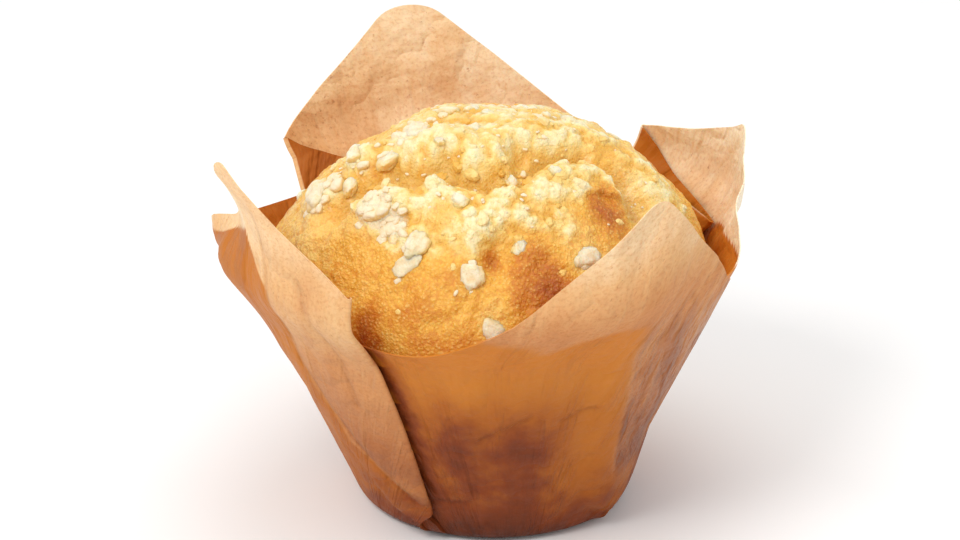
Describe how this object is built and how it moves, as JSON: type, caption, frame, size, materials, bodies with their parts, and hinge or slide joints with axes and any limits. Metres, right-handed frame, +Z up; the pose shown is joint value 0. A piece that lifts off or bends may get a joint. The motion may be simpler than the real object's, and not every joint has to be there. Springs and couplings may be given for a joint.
{
  "type": "muffin",
  "caption": "Plain muffin with a split, craggy dome and pearl-sugar nibs, baked in a pleated brown paper tulip case.",
  "frame": {"origin": "centre of the flat underside of the paper case", "axes": "+Z up out of the case, -Y towards the front of the muffin, +X to its right"},
  "size_m": [0.0997, 0.1052, 0.081],
  "materials": {
    "crumb": "baked golden cake crust with white sugar nibs",
    "paper": "unbleached greaseproof paper, browned where it touches the cake"
  },
  "bodies": {
    "root": {"muffin": "crumb", "paper_case": "paper"}
  },
  "joints": []
}
